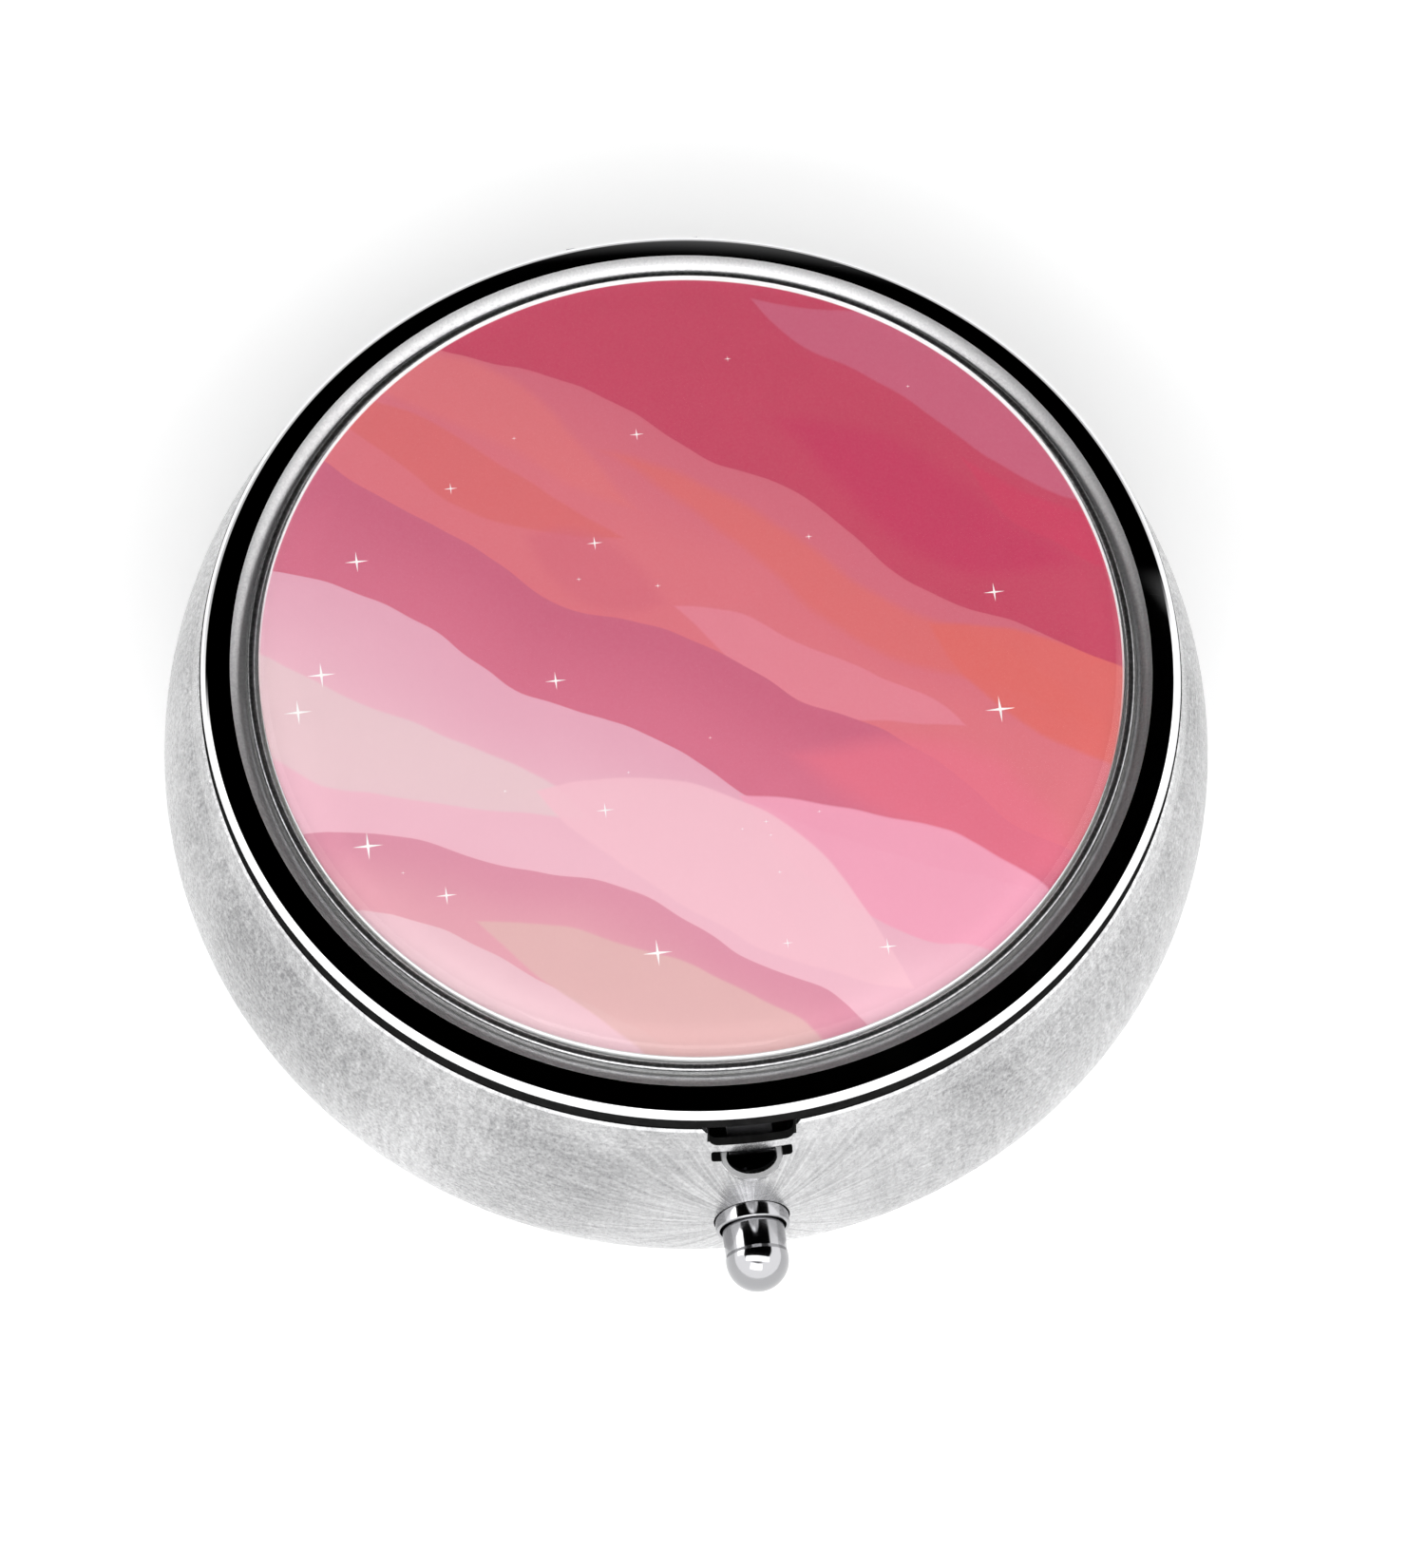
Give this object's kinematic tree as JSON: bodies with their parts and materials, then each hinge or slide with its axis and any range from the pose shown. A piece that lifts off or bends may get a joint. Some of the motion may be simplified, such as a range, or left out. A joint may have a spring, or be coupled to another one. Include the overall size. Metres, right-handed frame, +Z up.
{
  "type": "pill box",
  "caption": "Round steel pocket pill box with a bulged cup, a hinged lid with a printed disc under a clear dome, a push-button latch and a divided tray.",
  "frame": {"origin": "centre of the cup's flat underside", "axes": "+Z up through the lid, -Y towards the push button, +Y towards the hinge"},
  "size_m": [0.05, 0.0534, 0.017],
  "materials": {
    "satin_steel": "nickel-bright sheet steel with a fine satin brushing",
    "bright_chrome": "polished chrome plating",
    "spring_steel": "bare spring steel strip",
    "pin_steel": "drawn steel wire",
    "milled_ring": "fine turned ring",
    "adhesive_film": "thin double-sided paper film",
    "printed_disc": "printed card with a wavy band pattern in pinks",
    "clear_dome": "clear domed resin",
    "white_plastic": "moulded white polypropylene"
  },
  "bodies": {
    "base": {"base_cup": "satin_steel", "compartment_tray": "white_plastic", "button_ferrule": "bright_chrome", "base_hinge_leaf": "satin_steel", "hinge_pin": "pin_steel"},
    "lid": {"lid_shell": "bright_chrome", "lid_hinge_leaf": "satin_steel", "adhesive_film": "adhesive_film", "printed_disc": "printed_disc", "crystal_dome": "clear_dome", "retaining_ring": "milled_ring"},
    "button": {"push_button": "bright_chrome", "button_retainer": "spring_steel"},
    "latch": {"latch_tongue": "spring_steel"}
  },
  "joints": [
    {"name": "lid_hinge", "type": "hinge", "parent": "base", "child": "lid", "pos_m": [0, 0.023, 0.01355], "axis": [-1, 0, 0], "range_deg": [0, 105]},
    {"name": "button_press", "type": "slide", "parent": "base", "child": "button", "axis": [0, 1, 0], "range_m": [0, 0.0017], "stiffness_N_per_m": 400, "springref_m": -0.0004},
    {"name": "tongue_flex", "type": "hinge", "parent": "lid", "child": "latch", "pos_m": [0, -0.02205, 0.01534], "axis": [1, 0, 0], "range_deg": [0, 13]}
  ],
  "couplings": [
    {"joint": "tongue_flex", "follows": "button_press", "rad_per_m": 131.67}
  ]
}
